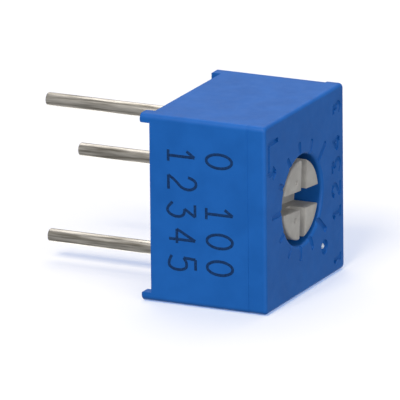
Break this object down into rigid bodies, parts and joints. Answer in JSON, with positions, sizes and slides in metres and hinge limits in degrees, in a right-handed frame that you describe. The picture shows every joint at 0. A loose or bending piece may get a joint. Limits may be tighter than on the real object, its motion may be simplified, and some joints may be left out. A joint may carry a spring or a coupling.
{
  "type": "trimmer potentiometer",
  "caption": "Small square single-turn trimmer potentiometer with a slotted rotor, a scale around it, standoff feet and round leads for a circuit board.",
  "frame": {"origin": "on the seating plane through the tips of the standoff feet, at the middle of the case and halfway between the two outer leads", "axes": "+Z along the rotor's axis, out of the adjustment face; the leads point along -Z; the two outer leads are in line along Y; +X is the lettered side, away from the middle lead"},
  "size_m": [0.0066, 0.0068, 0.0101],
  "materials": {
    "case_plastic": "satin moulded plastic",
    "rotor_plastic": "matt moulded plastic",
    "seal_rubber": "smooth",
    "spring_alloy": "bright rolled strip",
    "ceramic": "fired, matt",
    "resistive_film": "fired film",
    "conductor_film": "fired metal film",
    "lead_metal": "tinned, drawn wire",
    "solder": "solder",
    "epoxy": "cast resin"
  },
  "bodies": {
    "case": {"housing": "case_plastic", "ceramic_substrate": "ceramic", "resistive_track": "resistive_film", "end_pad_1": "conductor_film", "end_pad_3": "conductor_film", "collector_pad": "conductor_film", "pin_1": "lead_metal", "pin_2": "lead_metal", "pin_3": "lead_metal", "solder_joint_1": "solder", "solder_joint_2": "solder", "solder_joint_3": "solder", "epoxy_seal": "epoxy"},
    "rotor": {"rotor": "rotor_plastic", "rotor_seal": "seal_rubber", "wiper_spring": "spring_alloy"}
  },
  "joints": [
    {"name": "rotor_turn", "type": "hinge", "parent": "case", "child": "rotor", "pos_m": [0.0002, 0, 0.0049], "axis": [0, 0, 1], "range_deg": [-135, 145]}
  ]
}
